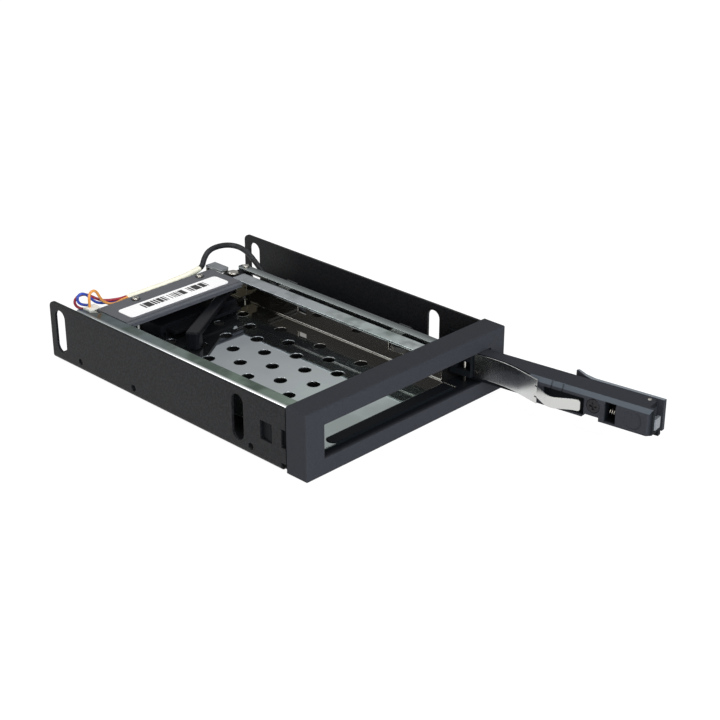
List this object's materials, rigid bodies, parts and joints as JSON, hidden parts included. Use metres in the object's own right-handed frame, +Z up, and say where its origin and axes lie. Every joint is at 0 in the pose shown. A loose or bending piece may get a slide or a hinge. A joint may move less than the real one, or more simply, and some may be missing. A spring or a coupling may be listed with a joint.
{
  "type": "drive mobile rack",
  "caption": "Bay rack for a small drive: folded black channel with a framed front, swing door on a side hinge, bright perforated cage and a linked ejector lever at the rear",
  "frame": {"origin": "middle of the underside of the chassis floor", "axes": "+X right when facing the front, +Y to the rear, +Z up"},
  "size_m": [0.1043, 0.2136, 0.0262],
  "materials": {
    "satin_black_steel": "satin black paint with a fine grain",
    "black_moulding": "fine grained black moulding",
    "bright_steel": "bright plated sheet",
    "spring_steel": "plain bright steel",
    "plated_screws": "bright plated",
    "black_screw": "blackened steel",
    "grey_moulding": "plain grey moulding",
    "dark_moulding": "smooth dark moulding",
    "green_board": "green coated board",
    "white_label": "plain white label",
    "pale_moulding": "pale moulding",
    "red_wire": "red insulation",
    "blue_wire": "blue insulation",
    "orange_wire": "orange insulation",
    "ivory_sleeve": "ivory tube",
    "black_cable": "black jacket"
  },
  "bodies": {
    "chassis": {"chassis": "satin_black_steel", "bezel": "black_moulding", "hinge_pin": "spring_steel", "drive_cage": "bright_steel", "cage_standoffs": "bright_steel", "pivot_rivet": "spring_steel", "circuit_board": "green_board", "board_posts": "spring_steel", "drive_receptacle": "dark_moulding", "host_plug": "dark_moulding", "rear_cover": "dark_moulding", "cover_screws": "plated_screws", "cover_label": "white_label", "wire_socket": "pale_moulding", "wire_red": "red_wire", "wire_blue": "blue_wire", "wire_orange": "orange_wire", "wire_sleeve": "ivory_sleeve", "lead_cable": "black_cable", "lead_holder": "dark_moulding"},
    "door": {"door_body": "black_moulding", "door_spring": "spring_steel", "door_screw": "black_screw", "latch_pin": "spring_steel", "latch_spring": "spring_steel"},
    "latch": {"latch_lever": "black_moulding"},
    "bolt": {"latch_bolt": "grey_moulding"},
    "link": {"link_bar": "spring_steel", "link_rivet": "spring_steel"},
    "ejector": {"ejector_lever": "dark_moulding"}
  },
  "joints": [
    {"name": "door_swing", "type": "hinge", "parent": "chassis", "child": "door", "pos_m": [0.0352, -0.0706, 0.0127], "axis": [0, 0, 1], "range_deg": [-98, 0]},
    {"name": "link_slide", "type": "slide", "parent": "chassis", "child": "link", "axis": [0, 1, 0], "range_m": [-0.003, 0]},
    {"name": "ejector_turn", "type": "hinge", "parent": "chassis", "child": "ejector", "pos_m": [0.0265, 0.0472, 0.013], "axis": [0, 0, 1], "range_deg": [-22.5, 0]},
    {"name": "latch_turn", "type": "hinge", "parent": "door", "child": "latch", "pos_m": [0.04897, -0.14198, 0.013], "axis": [0, 0, 1], "range_deg": [-14, 0], "stiffness_Nm_per_rad": 0.02},
    {"name": "bolt_slide", "type": "slide", "parent": "door", "child": "bolt", "axis": [0.1392, -0.9903, 0], "range_m": [-0.0009, 0]}
  ],
  "couplings": [
    {"joint": "link_slide", "follows": "door_swing", "m_per_rad": 0.0017025},
    {"joint": "ejector_turn", "follows": "door_swing", "ratio": 0.2276},
    {"joint": "bolt_slide", "follows": "latch_turn", "m_per_rad": 0.00345}
  ]
}
